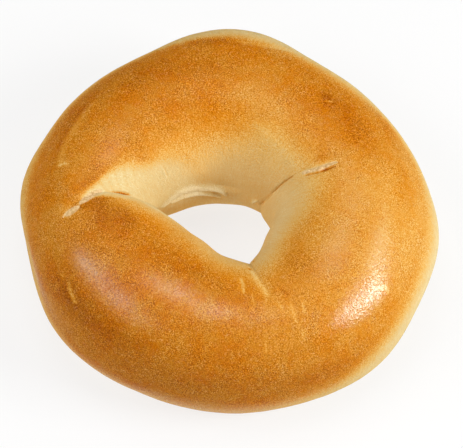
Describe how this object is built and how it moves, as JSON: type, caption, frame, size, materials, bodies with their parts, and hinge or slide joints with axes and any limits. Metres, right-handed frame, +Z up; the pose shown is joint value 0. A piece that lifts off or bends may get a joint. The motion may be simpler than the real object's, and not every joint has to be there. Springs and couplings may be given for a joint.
{
  "type": "bagel",
  "caption": "Plain golden-brown bread ring with a flat base, an open hole and shallow creases where the dough was lapped.",
  "frame": {"origin": "middle of the bounding box seen from above, at the height of the flat base", "axes": "+Z up out of the table, +X along the longest width, +Y away from the side that shows in the picture"},
  "size_m": [0.1106, 0.1084, 0.0378],
  "materials": {
    "crust": "baked golden-brown crust with a soft eggy sheen, darker and browner on top, paler at the sides and in the hole"
  },
  "bodies": {
    "root": {"bagel": "crust"}
  },
  "joints": []
}
